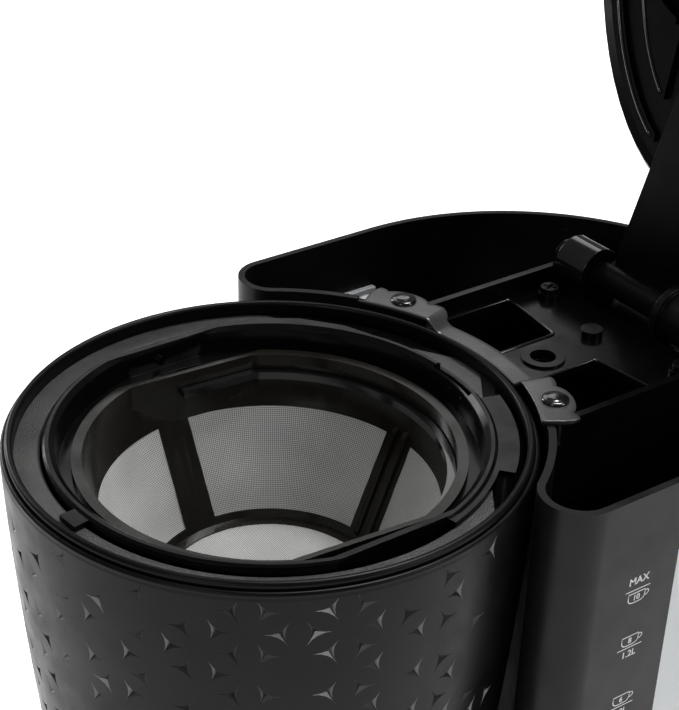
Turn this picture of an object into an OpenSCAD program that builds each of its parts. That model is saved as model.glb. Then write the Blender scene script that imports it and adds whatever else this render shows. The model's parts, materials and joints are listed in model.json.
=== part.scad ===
// Drip coffee maker: round brew drum in front, open water tank behind it, hinged lid,
// lift-out filter holder with a permanent filter, and a glass carafe on a hotplate.
// Millimetres, +Z up, front towards -Y. The origin is on the table, in the middle of the
// box that the machine fills with its lid raised.

/* [Overall] */
// Height of the drum's rim above the table
rim_z = 300; // [295:1:310]
// How far the lid is raised in the drawing
lid_angle = 100; // [0:1:100]

/* [Drum] */
// Outer radius of the drum just under its rim
drum_r = 76.7; // [76:0.1:77.5]
// Height of the drum
drum_h = 104; // [100:1:108]
// Radius of the drum at its foot
drum_foot_r = 71; // [69:0.5:74]
// Wall of the drum
drum_wall = 2.2; // [1.8:0.1:2.6]

/* [Tank] */
// Half width of the tank, and radius of its round back
tank_r = 86.5; // [85:0.5:90]
// Distance from the drum's axis to the centre of the round back
tank_arc_y = 98; // [95:1:102]
// Radius of the rounded front horns of the tank
horn_r = 11.5; // [11:0.5:12]
// Distance from the drum's axis back to the centres of the horns
horn_y = 50; // [49:1:52]
// Wall of the tank
tank_wall = 2.2; // [1.8:0.1:2.6]
// Height of the tank's floor above the table
tank_floor_z = 165; // [155:1:175]

/* [Filter] */
// Outer radius of the filter holder's lip
holder_r = 64.8; // [64:0.1:65]
// Distance from the axis to the holder's flat sides
holder_flat_x = 61.5; // [61:0.5:62]
// Outer radius of the permanent filter's rim
filter_r = 57; // [56.6:0.1:57.4]
// Distance from the axis to the permanent filter's flat sides
filter_flat_x = 51.5; // [51.2:0.1:52]
// Radius of the permanent filter at its floor
filter_foot_r = 36.5; // [34:0.5:37]
// Depth of the permanent filter
filter_depth = 51; // [50:0.5:51]
// How far the permanent filter is turned in its holder
filter_turn = -4.5; // [-8:0.5:0]

/* [Lid] */
// Radius of the lid over the drum
lid_r = 76; // [75:0.5:77]
// Length of the lid from the drum's axis back to its tail
lid_tail = 120; // [116:1:122]
// Height of the closed lid over the rim
lid_h = 24; // [23:1:26]
// How much the lid narrows towards its tail
lid_taper = 1; // [1:0.05:1.2]
// Distance from the drum's axis to the hinge
hinge_y = 147; // [145:1:149]

/* [Base] */
// Height of the base over the table
base_h = 34; // [32:1:36]
// Radius of the base's round front
base_r = 80; // [79:0.5:81]
// Radius of the hotplate
hotplate_r = 60; // [58:0.5:61]

/* [Carafe] */
// Largest radius of the glass
glass_r = 72; // [68:0.5:73]
// Reach of the handle in front of the drum's axis
handle_reach = 118; // [114:1:120]

/* [Hidden] */
$fn = 96;
axis_y = -45.28;
gap = 0.3;
running_gap = 0.05;

hinge_z = rim_z - 3;
drum_z = rim_z - drum_h;
horn_x = tank_r - horn_r;
nest_r = norm([horn_x, horn_y]) - horn_r;
tank_top_z = rim_z + 1;
base_wall = 2.5;
foot_h = 3;

// Bridge over the tank
bridge_hw = 39;
bridge_z = rim_z - 11;
bridge_t = 2.2;
rail_z = rim_z - 4.5;
rail_drop = 24;
spout_y = 103;
window_in = 10;
window_front = 88;
window_back = 116;

// Strap round the drum's back
strap_in_r = 77;
strap_mid_r = 84;
strap_end_r = 88.4;
strap_t = 1.2;
strap_step = 3.6;
strap_mid_a = 15;
strap_end_a = 34;
strap_top_z = rim_z + 1.4;
rivet_a = 26;
rivet_at_r = 83.2;

// Hinge
pin_r = 2.5;
barrel_r = 5;
knuckle_r = 10;
knuckle_x = 10;
arm_left = 21.5;
arm_tip_left = 12.5;
arm_right = knuckle_x - 0.4;
panel_z = 6.2;
arm_z = 1.4;

// Filter holder and permanent filter
holder_z = rim_z - 3.4;
holder_wall = 1.8;
holder_foot_z = rim_z - 67.5;
holder_foot_r = 42;
spout_r = 11;
chamber_r = 9;
seat_r = 6.5;
seat_z = rim_z - 79;
filter_z = rim_z - 8.4;
filter_wall = 1.7;
rib_w = 11;
rib_turn = 8.75;
window_top = 16.5;
window_foot = filter_depth - 4;
bail_r = 53.5;
bail_flat_x = 49.4;
bail_wire = 2.4;
bail_pin_r = 1.2;
bail_y = -2.5;
bail_z = rim_z - 14.5;

// Carafe
carafe_z = base_h + 1.7;
neck_z = 168;

// Water way
valve_x = -26;
valve_y = 110;

// ---------- shared shapes ----------

// Everything is drawn about the drum's axis and then moved so that the origin is central
module placed() {
    translate([0, axis_y, 0]) children();
}

// A tube along Z from z0 up to z1
module tube_z(outer, inner, z0, z1) {
    translate([0, 0, z0]) difference() {
        cylinder(r = outer, h = z1 - z0);
        translate([0, 0, -1]) cylinder(r = inner, h = z1 - z0 + 2);
    }
}

// A cylinder along X from x0 to x1
module rod_x(r, x0, x1) {
    translate([x0, 0, 0]) rotate([0, 90, 0]) cylinder(r = r, h = x1 - x0);
}

// Wedge of the plan between two angles, reaching out to radius r
module sector(a0, a1, r) {
    steps = 8;
    polygon(concat([[0, 0]], [for (i = [0:steps]) let(a = a0 + (a1 - a0) * i / steps)
        [r * cos(a) / cos((a1 - a0) / steps / 2), r * sin(a) / cos((a1 - a0) / steps / 2)]]));
}

// Flat ring between two radii, cut to a span of angles
module ring_sector(inner, outer, a0, a1) {
    intersection() {
        difference() {
            circle(r = outer);
            circle(r = inner);
        }
        sector(a0, a1, outer + 4);
    }
}

// Plan of the tank's block before the drum's nest is cut from it
module tank_block_plan(inset = 0) {
    a = atan2(horn_y, horn_x) - 1;
    root_r = nest_r - 12;
    translate([0, tank_arc_y]) circle(r = tank_r - inset);
    translate([inset - tank_r, horn_y]) square([2 * (tank_r - inset), tank_arc_y - horn_y]);
    for (m = [0, 1]) mirror([m, 0]) {
        translate([horn_x, horn_y]) circle(r = horn_r - inset);
        polygon([[horn_x, horn_y + 1], [horn_x - 25, horn_y + 1],
                 [root_r * cos(a), root_r * sin(a)], [horn_x, horn_y]]);
    }
}

// Plan of the tank, moved inward by inset
module tank_plan(inset = 0) {
    difference() {
        tank_block_plan(inset);
        circle(r = nest_r + inset);
    }
}

// Plan of the base, moved inward by inset
module base_plan(inset = 0) {
    tank_block_plan(inset);
    circle(r = base_r - inset);
}

// Smooth points through a short list of hand-set points
function through(p, i, t) =
    let(n = len(p) - 1,
        a = p[max(i - 1, 0)], b = p[i], c = p[min(i + 1, n)], d = p[min(i + 2, n)])
    0.5 * (2 * b + (c - a) * t + (2 * a - 5 * b + 4 * c - d) * t * t
           + (3 * b - a - 3 * c + d) * t * t * t);
function smooth(p, steps) =
    concat([for (i = [0:len(p) - 2], k = [0:steps - 1]) through(p, i, k / steps)], [p[len(p) - 1]]);
function unit(v) = v / norm(v);

// Hollow hose swept along a smooth path, its rings set square to the path
module hose(points, outer, inner, steps = 4, sides = 16) {
    path = smooth(points, steps);
    n = len(path);
    tangent = [for (i = [0:n - 1]) unit(path[min(i + 1, n - 1)] - path[max(i - 1, 0)])];
    across = [for (t = tangent) unit(cross(t, [1, 0.2, 0.1]))];
    ring = [for (r = [outer, inner], i = [0:n - 1], k = [0:sides - 1])
        path[i] + r * (cos(360 * k / sides) * across[i]
                       + sin(360 * k / sides) * cross(tangent[i], across[i]))];
    m = n * sides;
    skin = [for (i = [0:n - 2], k = [0:sides - 1]) let(l = (k + 1) % sides)
        [i * sides + k, i * sides + l, (i + 1) * sides + l, (i + 1) * sides + k]];
    bore = [for (f = skin) [m + f[3], m + f[2], m + f[1], m + f[0]]];
    near = [for (k = [0:sides - 1]) let(l = (k + 1) % sides) [k, m + k, m + l, l]];
    e = (n - 1) * sides;
    far = [for (k = [0:sides - 1]) let(l = (k + 1) % sides) [e + l, m + e + l, m + e + k, e + k]];
    polyhedron(ring, concat(skin, bore, near, far), convexity = 8);
}

// ---------- base ----------

// Bottom casing: round in front under the hotplate, tank-shaped behind, with bosses for its screws
module base_shell() placed() color("#1d1d1f") {
    front = -base_r;
    difference() {
        union() {
            difference() {
                translate([0, 0, foot_h]) linear_extrude(base_h - foot_h) base_plan();
                translate([0, 0, foot_h - 1])
                    linear_extrude(base_h - foot_h + 1 - base_wall) base_plan(base_wall);
            }
            for (p = screw_places) translate([p[0], p[1], foot_h + 2.6])
                cylinder(r = 4, h = base_h - base_wall - foot_h - 2);
        }
        for (p = screw_places) translate([p[0], p[1], 0]) cylinder(r = 1.65, h = 22);
        translate([0, 0, base_h - 5]) cylinder(r = hotplate_r + 3, h = 10);
        translate([0, 0, base_h - 5]) linear_extrude(10) tank_plan(5);
        translate([-13, front - 5, 11]) cube([26, 12, 15]);
        translate([-15.6, front - 5, 8.4]) cube([31.2, 6.1, 20.2]);
        translate([0, tank_arc_y + tank_r + 5, 17]) rotate([90, 0, 0]) cylinder(r = 6, h = 12);
    }
}

// Sheet that closes the base from below, with slots that let air in
module bottom_plate() placed() color("#232325")
    translate([0, 0, foot_h + 0.5]) linear_extrude(2) difference() {
        base_plan(base_wall + 0.4);
        for (x = [-30:10:30]) translate([x, 20]) hull() {
            translate([0, -14]) circle(r = 1.6, $fn = 24);
            translate([0, 14]) circle(r = 1.6, $fn = 24);
        }
        for (p = screw_places) translate(p) circle(r = 1.7);
        for (p = foot_places) translate(p) circle(r = 3);
    }

screw_places = [[-62, 28], [62, 28], [-30, -62], [30, -62],
                [-79, 105], [79, 105], [-41, 165.5], [41, 165.5]];
foot_places = [[-50, -40], [50, -40], [-55, 140], [55, 140]];

// Screws that hold the bottom plate
module bottom_screws() placed() color("#8d8f92")
    for (p = screw_places) translate([p[0], p[1], 0]) difference() {
        union() {
            translate([0, 0, foot_h - 1.4]) cylinder(r = 3, h = 1.8);
            translate([0, 0, foot_h + 0.4]) cylinder(r = 1.6, h = 12);
        }
        translate([0, 0, foot_h - 2]) rotate(20) {
            translate([-2, -0.4, 0]) cube([4, 0.8, 1.4]);
            translate([-0.4, -2, 0]) cube([0.8, 4, 1.4]);
        }
    }

// Four rubber feet, each with a stem pushed through the bottom plate
module rubber_feet() placed() color("#2c2c2e")
    for (p = foot_places) translate([p[0], p[1], 0]) {
        cylinder(r1 = 7, r2 = 8, h = 3.4);
        translate([0, 0, 3.4]) cylinder(r = 2.9, h = 3.6);
        translate([0, 0, 5.7]) cylinder(r = 3.8, h = 1.6);
    }

// Coated steel plate that keeps the carafe warm
module hotplate() placed() color("#2a2a2b")
    rotate_extrude() polygon([
        [0, base_h + 0.2], [hotplate_r - 8, base_h + 0.2], [hotplate_r - 6, base_h + 0.6],
        [hotplate_r - 1.4, base_h + 0.6], [hotplate_r - 1.4, base_h - 4], [hotplate_r, base_h - 4],
        [hotplate_r, base_h + 1], [hotplate_r - 0.6, base_h + 1.5], [0, base_h + 1.5]]);

// Silicone ring between the hotplate and the base
module hotplate_gasket() placed() color("#3a3a3c")
    rotate_extrude() polygon([
        [hotplate_r + 0.1, base_h - 4], [hotplate_r + 2.9, base_h - 4],
        [hotplate_r + 2.9, base_h + 0.1], [hotplate_r + 5.5, base_h + 0.1],
        [hotplate_r + 5, base_h + 0.8], [hotplate_r + 0.1, base_h + 1.1]]);

// Horseshoe of the sheathed heater and the water pipe beside it, in one casting
module heating_element() placed() color("#b9bbbe") {
    rotate_extrude(angle = 300, start = 120) {
        translate([heater_r, heater_z]) circle(r = 4.4);
        translate([pipe_r, pipe_z]) circle(r = 4.4);
    }
    for (m = [0, 1]) mirror([m, 0, 0]) rotate(60) {
        translate([pipe_r, -1, pipe_z]) rotate([-90, 0, 0]) cylinder(r = 3.6, h = 9);
        translate([heater_r, -1, heater_z]) rotate([-90, 0, 0]) cylinder(r = 1.5, h = 8);
    }
}

heater_r = 39.5;
heater_z = base_h - 4.5;
pipe_r = 47.5;
pipe_z = base_h - 7.5;

// Switch that holds the plate's temperature, under the casting
module thermostat() placed() color("#c9c2ae")
    translate([0, -43.5, base_h - 19.8]) {
        cylinder(r = 8, h = 5);
        translate([0, 0, 5]) cylinder(r = 6.5, h = 2.6);
        for (s = [-1, 1]) translate([s * 5 - 1.5, -0.4, -6.6]) cube([3, 0.8, 7]);
    }

// Two fuses in sleeves beside the thermostat
module thermal_fuses() placed() color("#d8d4c6")
    for (s = [-1, 1]) rotate([0, 0, s * 35]) translate([0, -43.5, base_h - 14.6]) {
        rod_x(2.2, -9, 9);
        rod_x(0.6, -14, 14);
    }

// Sprung steel bar that presses the casting against the plate
module element_clamp() placed() color("#a9abad")
    difference() {
        translate([-56, -6, base_h - 13.2]) cube([112, 12, 1.2]);
        for (x = [-54, 54]) translate([x, 0, base_h - 15]) cylinder(r = 1.4, h = 4);
    }

// Frame of the on and off switch, set in the base's front
module switch_housing() placed() color("#161617")
    difference() {
        union() {
            translate([-15.5, -base_r - 1.6, 8.5]) cube([31, 2.6, 20]);
            translate([-12.8, -base_r + 0.9, 11.2]) cube([25.6, 13, 14.6]);
        }
        translate([-10.4, -base_r - 3, 12.6]) cube([20.8, 12, 11.8]);
        translate([0, -base_r + 3, 18.5]) rod_x(1.5 + running_gap, -11.6, 11.6);
    }

// Rocker, drawn with its lower half pressed in
module rocker_switch() placed() color("#3b3b3d")
    translate([0, -base_r + 3, 18.5]) rotate([-7, 0, 0]) {
        intersection() {
            rotate([0, 90, 0]) translate([0, 0, -10]) cylinder(r = 6.6, h = 20);
            translate([-10, -6.2, -5]) cube([20, 9, 10]);
        }
        rod_x(1.5, -11.4, 11.4);
    }

// Bush where a mains cord enters
module cord_gland() placed() color("#19191a")
    translate([0, tank_arc_y + tank_r, 17]) rotate([-90, 0, 0]) difference() {
        union() {
            translate([0, 0, 0.2]) cylinder(r = 9, h = 2.2);
            translate([0, 0, -6]) cylinder(r = 5.9, h = 6.3);
            translate([0, 0, -6]) cylinder(r = 7.4, h = 2.6);
        }
        translate([0, 0, -8]) cylinder(r = 3.6, h = 14);
    }

// Terminals that join the cord, the switch and the heater
module terminal_block() placed() color("#e4e0d2")
    difference() {
        translate([-17, 128, 6]) cube([34, 14, 12]);
        for (x = [-11.5, 0, 11.5]) {
            translate([x, 135, 12]) cylinder(r = 2.2, h = 8);
            translate([x, 126, 12]) rotate([-90, 0, 0]) cylinder(r = 1.8, h = 18);
        }
    }

// ---------- tank ----------

// Column and water tank in one moulding, with a floor between them
module tank_shell() placed() color("#1a1a1b") {
    difference() {
        translate([0, 0, base_h]) linear_extrude(tank_top_z - base_h) tank_plan();
        translate([0, 0, tank_floor_z]) linear_extrude(rim_z) tank_plan(tank_wall);
        translate([0, 0, base_h - 1])
            linear_extrude(tank_floor_z - 3 - base_h + 1) tank_plan(tank_wall);
        for (s = [-1, 1]) translate([s * (tank_r - 1) - 6, window_y0, window_z0])
            cube([12, window_y1 - window_y0, window_z1 - window_z0]);
        strap_seat();
        translate([valve_x, valve_y, tank_floor_z - 5]) cylinder(r = 4, h = 10);
        translate([0, spout_y, tank_floor_z - 5]) cylinder(r = 7, h = 10);
    }
}

window_y0 = 79;
window_y1 = 97;
window_z0 = tank_floor_z + 6;
window_z1 = rim_z - 23;

// Room under the strap, cut from the top of the wall that it lies on
module strap_seat() {
    translate([0, 0, strap_top_z - strap_t - 0.05]) linear_extrude(10)
        ring_sector(nest_r - 2, nest_r + 9.9, 90 - strap_end_a - 2, 90 + strap_end_a + 2);
    translate([0, 0, strap_top_z - strap_t - strap_step - 0.05]) linear_extrude(20)
        ring_sector(nest_r - 2, nest_r + 9.9, 90 - strap_mid_a - 4, 90 + strap_mid_a + 4);
}

// Pale strip through which the water's level shows
module level_window(s) placed() color("#d4d8da")
    mirror([s > 0 ? 0 : 1, 0, 0]) translate([tank_r, 0, 0]) {
        translate([-tank_wall - 0.5, window_y0 + 0.05, window_z0 + 0.05])
            cube([tank_wall + 0.5, window_y1 - window_y0 - 0.1, window_z1 - window_z0 - 0.1]);
        translate([-tank_wall - 2.3, window_y0 - 3, window_z0 - 3])
            cube([2.25, window_y1 - window_y0 + 4, window_z1 - window_z0 + 6]);
    }

module level_window_right() level_window(1);
module level_window_left() level_window(-1);

// Nipple under the tank's floor
module tank_outlet() placed() color("#e2e2df")
    translate([valve_x, valve_y, 0]) {
        tube_z(3.9, 2.4, tank_floor_z - 20, tank_floor_z + 1);
        tube_z(8, 2.4, tank_floor_z + 0.1, tank_floor_z + 2);
    }

// One-way valve below the nipple
module check_valve() placed() color("#f0efe9")
    translate([valve_x, valve_y, 0]) difference() {
        union() {
            translate([0, 0, tank_floor_z - 36]) cylinder(r = 6.5, h = 20);
            translate([0, 0, tank_floor_z - 44]) cylinder(r = 3.6, h = 9);
        }
        translate([0, 0, tank_floor_z - 45]) cylinder(r = 2, h = 40);
        translate([0, 0, tank_floor_z - 21.5]) cylinder(r = 4, h = 6);
        translate([0, 0, tank_floor_z - 31]) sphere(r = 4);
    }

inlet_path = [[valve_x, valve_y, tank_floor_z - 37.2], [valve_x, valve_y, 108], [-25.5, 107, 70],
              [-24, 101, 43], [-20, 86, 24.5], [-14, 68, 23.5], [-11.5, 54, 25.2],
              [-15.1, 46.1, pipe_z], [-20.3, 43.1, pipe_z]];
outlet_path = [[20.3, 43.1, pipe_z], [15.1, 46.1, pipe_z], [11.5, 54, 25.2], [12, 68, 23.6],
               [11, 84, 23.6], [6, 98.5, 36], [0.6, 102.8, 52], [0, spout_y, 61], [0, spout_y, 69.5],
               [0, spout_y, 78]];
hose_r = 5.4;
hose_bore_r = 3.8;

// Hose from the valve down to the casting
module inlet_hose() placed() color("#dcdad2") hose(inlet_path, hose_r, hose_bore_r);

// Hose from the casting to the riser
module outlet_hose() placed() color("#dcdad2") hose(outlet_path, hose_r, hose_bore_r);

// Pipe that carries hot water up through the tank to the bridge, with a nipple at its foot
module riser_tube() placed() color("#2b2b2d")
    translate([0, spout_y, 0]) {
        tube_z(3.6, 2.4, 66, 81);
        tube_z(5.5, 3.5, 81, bridge_z - bridge_t - 0.2);
        tube_z(5.5, 2.4, 79, 81.5);
    }

// Seal where the riser passes through the tank's floor
module riser_seal() placed() color("#4a4a4c")
    translate([0, spout_y, 0]) {
        tube_z(6.9, 5.6, tank_floor_z - 3, tank_floor_z + 0.1);
        tube_z(10, 5.6, tank_floor_z + 0.1, tank_floor_z + 2.5);
    }

// ---------- drum ----------

// Radius of the drum's outside at a depth under its rim
function drum_side(d) = drum_foot_r + (drum_r - drum_foot_r) * (1 - pow(d / drum_h, 1.6));

// Outer wall, drawn in slightly towards its foot, with a rolled double rim
module drum_shell() placed() color("#161617") difference() {
    rotate_extrude() polygon(concat(
        [for (i = [0:12]) let(d = 5 + (drum_h - 5) * i / 12) [drum_side(d), rim_z - d]],
        [[30, drum_z], [30, drum_z + drum_wall], [drum_foot_r - drum_wall - 3, drum_z + drum_wall],
         [drum_foot_r - drum_wall, drum_z + drum_wall + 3]],
        [for (i = [11:-1:0]) let(d = 8 + (drum_h - 12) * i / 12)
            [drum_side(d) - drum_wall, rim_z - d]],
        [[72.9, rim_z - 2.4]],
        [for (a = [180:-30:0]) [74 + 1.1 * cos(a), rim_z - 1.1 + 1.1 * sin(a)]],
        [[75, rim_z - 2.2]],
        [for (a = [120:-30:-30]) [75.6 + 0.9 * cos(a), rim_z - 3 + 0.9 * sin(a)]],
        [[drum_r, rim_z - 4.4]]));
    for (a = liner_screw_angles) rotate(a) translate([liner_screw_r, 0, drum_z - 1])
        cylinder(r = 1.4 + running_gap, h = 6);
}

liner_screw_angles = [30, 150, 270];
liner_screw_r = 42;

// Funnel inside the drum: flat ledge round its top, and three posts for its screws
module drum_liner() placed() color("#121213")
    difference() {
        union() {
            rotate_extrude() polygon([
                [73, ledge_z], [73, ledge_z - 2.2], [67.9, ledge_z - 2.8], [67.6, rim_z - 24],
                [48.3, rim_z - 78.5], [27, rim_z - 92], [27, drum_z - 1], [25, drum_z - 1],
                [25, rim_z - 90], [46.2, rim_z - 77.4], [65.4, rim_z - 25], [65.4, ledge_z - 0.8],
                [66.2, ledge_z]]);
            for (a = liner_screw_angles) rotate(a)
                translate([liner_screw_r, 0, drum_z + drum_wall + 0.1]) cylinder(r = 3.4, h = 18.5);
        }
        for (a = liner_screw_angles) rotate(a)
            translate([liner_screw_r, 0, drum_z]) cylinder(r = 1.4 + running_gap, h = 10);
    }

ledge_z = rim_z - 4.6;

// Screws that tie the liner to the drum's floor
module liner_screws() placed() color("#8d8f92")
    for (a = liner_screw_angles) rotate(a) translate([liner_screw_r, 0, 0]) {
        translate([0, 0, drum_z - 1.6]) cylinder(r = 2.6, h = 1.5);
        translate([0, 0, drum_z - 0.2]) cylinder(r = 1.4, h = 8);
    }

// ---------- bridge, strap and hinge ----------

// Frame over the tank: plate with two windows and the spout hole, side rails that reach the
// tank's back wall, seats for the strap's rivets, and the cradles of the hinge
module bridge_frame() placed() color("#1c1c1d") {
    front = 70.5;
    back = 157;
    rail_t = 2.4;
    wall_y = tank_arc_y + sqrt(pow(tank_r - tank_wall, 2) - pow(bridge_hw + rail_t / 2, 2)) - 0.1;
    difference() {
        union() {
            translate([-bridge_hw, front, bridge_z - bridge_t])
                cube([2 * bridge_hw, back - front, bridge_t]);
            for (s = [-1, 1]) translate([s * bridge_hw - rail_t / 2, front, bridge_z - rail_drop]) {
                cube([rail_t, back - front, rail_z - bridge_z + rail_drop]);
                translate([0, back - front - 1, 0]) cube([rail_t, wall_y - back + 1, rail_drop]);
                translate([0, hinge_y - front, hinge_z - bridge_z + rail_drop]) rod_x(5.6, 0, rail_t);
            }
            translate([0, spout_y, bridge_z - 1]) cylinder(r = 7, h = 1.8);
            for (s = [-1, 1]) translate([s * 31, 132.5, bridge_z - 1]) cylinder(r = 4, h = 3);
            translate([-3, 126, bridge_z - 1]) cylinder(r = 3.6, h = 3.4);
            translate([-bridge_hw + 1, hinge_y - 7, bridge_z - 1]) cube([16, 14, 6.3]);
            translate([knuckle_x + 1, hinge_y - 9, bridge_z - 1]) cube([28, 18, 3]);
            for (s = [-1, 1]) rotate(s * rivet_a) translate([0, rivet_at_r, bridge_z - 1])
                cylinder(r = 4.4, h = strap_top_z - strap_t - bridge_z + 0.95);
        }
        translate([0, 0, bridge_z - rail_drop - 1]) cylinder(r = nest_r + tank_wall + 0.1, h = 60);
        for (m = [0, 1]) mirror([m, 0, 0]) translate([0, 0, bridge_z - 5]) linear_extrude(20) polygon([
            [window_in, window_front], [bridge_hw - 3, window_front],
            [bridge_hw - 3, window_back + 3], [window_in, window_back]]);
        translate([0, spout_y, bridge_z - 5]) cylinder(r = 4.1, h = 10);
        translate([0, hinge_y, hinge_z]) {
            rod_x(barrel_r + gap, 1.3 - bridge_hw, knuckle_x);
            rod_x(pin_r + running_gap, -bridge_hw - 3, bridge_hw + 3);
            rod_x(knuckle_r + 0.1, knuckle_x, bridge_hw - 1.2);
        }
        for (s = [-1, 1]) translate([s * 31, 132.5, bridge_z - 5]) cylinder(r = 1.6, h = 20);
        for (s = [-1, 1]) rotate(s * rivet_a) translate([0, rivet_at_r, bridge_z + 4])
            cylinder(r = 2.05, h = 20);
    }
}

// Two screws by the hinge
module bridge_screws() placed() color("#77797c")
    for (s = [-1, 1]) translate([s * 31, 132.5, 0]) difference() {
        union() {
            translate([0, 0, bridge_z + 2.05]) cylinder(r = 3.1, h = 1.6);
            translate([0, 0, bridge_z - 7]) cylinder(r = 1.55, h = 9.2);
        }
        translate([0, 0, bridge_z + 2.9]) rotate(25) {
            translate([-2.2, -0.4, 0]) cube([4.4, 0.8, 2]);
            translate([-0.4, -2.2, 0]) cube([0.8, 4.4, 2]);
        }
    }

// Stamped plate that follows the drum's back: raised ends, stepped-down middle
module strap_bracket() placed() color("#3c3d3f")
    difference() {
        union() {
            translate([0, 0, strap_top_z - strap_t - strap_step]) linear_extrude(strap_t)
                ring_sector(strap_in_r, strap_mid_r, 90 - strap_mid_a, 90 + strap_mid_a);
            for (s = [-1, 1]) {
                translate([0, 0, strap_top_z - strap_t]) linear_extrude(strap_t) strap_end(s);
                rotate(s * strap_mid_a)
                    translate([-0.6, strap_in_r + 0.1, strap_top_z - strap_t - strap_step + 0.1])
                    cube([1.2, strap_mid_r - strap_in_r - 0.3, strap_step + strap_t - 0.2]);
            }
        }
        for (s = [-1, 1]) rotate(s * rivet_a) translate([0, rivet_at_r, 0])
            cylinder(r = 2.05, h = 2 * rim_z);
    }

// Plan of one end of the strap, with the round lobe that takes the rivet
module strap_end(s) {
    a0 = 90 + s * strap_mid_a;
    a1 = 90 + s * strap_end_a;
    tip_a = 90 + s * (strap_end_a - 3);
    step_a = 90 + s * (strap_mid_a + 2.5);
    ring_sector(strap_in_r, strap_mid_r, min(a0, a1), max(a0, a1));
    rotate(s * rivet_a) translate([0, rivet_at_r]) circle(r = 5.7);
    ring_sector(strap_in_r + 3, strap_end_r, tip_a - 2.6, tip_a + 2.6);
    ring_sector(strap_in_r + 3, strap_end_r - 1.5, step_a - 1.9, step_a + 1.9);
}

// Two rivets with low domed heads
module strap_rivets() placed() color("#4a4b4e")
    for (s = [-1, 1]) rotate(s * rivet_a) translate([0, rivet_at_r, 0]) {
        translate([0, 0, strap_top_z - 5]) cylinder(r = 2, h = 5.02);
        intersection() {
            translate([0, 0, strap_top_z - 6.6]) sphere(r = 8);
            translate([0, 0, strap_top_z]) cylinder(r = 3.9, h = 4);
        }
    }

// Glossy cap over the left end of the hinge barrel
module hinge_saddle() placed() color("#2a2a2b")
    translate([0, hinge_y, hinge_z]) intersection() {
        difference() {
            rod_x(8.4, -36.4, -arm_left - 1.5);
            rod_x(barrel_r + gap, -40, -15);
        }
        translate([-40, -10, -2.4]) cube([30, 20, 20]);
    }

// Large right-hand knuckle that steadies the lid
module hinge_knuckle() placed() color("#1e1e1f")
    translate([0, hinge_y, hinge_z]) difference() {
        union() {
            rod_x(knuckle_r, knuckle_x + 0.5, knuckle_x + 3);
            rod_x(knuckle_r - 1.4, knuckle_x + 2.5, bridge_hw - 1.4);
        }
        rod_x(pin_r + running_gap, 0, 50);
        translate([0, -20, -20 - 6]) cube([60, 40, 20]);
    }

// Steel pin of the hinge
module hinge_pin() placed() color("#b4b6b8")
    translate([0, hinge_y, hinge_z]) rod_x(pin_r, -bridge_hw - 1.2, bridge_hw + 1.2);

// ---------- lid ----------

// Turns what is drawn closed into the raised position
module raised() {
    placed() translate([0, hinge_y, hinge_z]) rotate([-lid_angle, 0, 0])
        translate([0, -hinge_y, -hinge_z]) children();
}

// Point on the lid's plan: half a circle over the drum, a narrowing tail towards the hinge
function lid_point(a, inset) =
    let(r = lid_r - inset, c = cos(a), s = sin(a))
    a < 180 ? [r * sign(c) * pow(abs(c), lid_taper), (lid_tail - inset) * s] : [r * c, r * s];

// Plan of the lid, moved inward by inset
module lid_plan(inset = 0) {
    polygon([for (i = [0:71]) lid_point(5 * i, inset)]);
}

// Outer cover of the lid: rings of [inset, height over the rim], up the outside, down the
// inside, with a notch in its tail for the arm
module lid_outer() raised() color("#151516") {
    sides = 72;
    rings = [[5, 5.5], [2.2, 8.6], [0.5, 11.6], [0, 14.2], [0.9, 17], [3.4, 19.6], [8, 21.6],
             [18, lid_h - 1], [36, lid_h], [36, lid_h - 2.6], [18, lid_h - 3.6], [9.4, 18.8],
             [5.8, 16.8], [3.6, 13.8], [7.4, 7.4]];
    out = 8;
    n = len(rings);
    points = [for (g = rings, i = [0:sides - 1])
        let(p = lid_point(5 * i, g[0])) [p[0], p[1], rim_z + g[1]]];
    band = [for (g = [0:n - 1], i = [0:sides - 1])
        let(j = (i + 1) % sides, h = (g + 1) % n)
        if (g != out) [g * sides + i, h * sides + i, h * sides + j, g * sides + j]];
    crown = [for (i = [sides - 1:-1:0]) out * sides + i];
    ceiling = [for (i = [0:sides - 1]) (out + 1) * sides + i];
    difference() {
        polyhedron(points, concat(band, [crown, ceiling]), convexity = 6);
        translate([-arm_left - 0.3, 90, rim_z])
            cube([arm_left + arm_right + 0.6, 40, panel_z + 0.3]);
    }
}

// Panel under the cover: a bead near its edge, a raised middle and the round skirt over the filter
module lid_inner() raised() color("#1f1f20")
    difference() {
        union() {
            translate([0, 0, rim_z + panel_z]) linear_extrude(2) lid_plan(7.9);
            translate([0, 0, rim_z + panel_z - 1.4]) linear_extrude(1.9) difference() {
                lid_plan(12.2);
                lid_plan(14.4);
            }
            translate([0, 0, rim_z + panel_z - 1.8]) linear_extrude(2.2) lid_plan(24);
            tube_z(66.5, 64.6, rim_z + 0.8, rim_z + panel_z + 0.5);
            tube_z(30, 28.4, rim_z + 2, rim_z + panel_z + 0.5);
        }
        translate([-arm_left - 0.3, 20, rim_z - 2])
            cube([arm_left + arm_right + 0.6, 130, panel_z + 2]);
        translate([0, 0, rim_z - 2]) cylinder(r = 25, h = panel_z + 2);
    }

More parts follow.
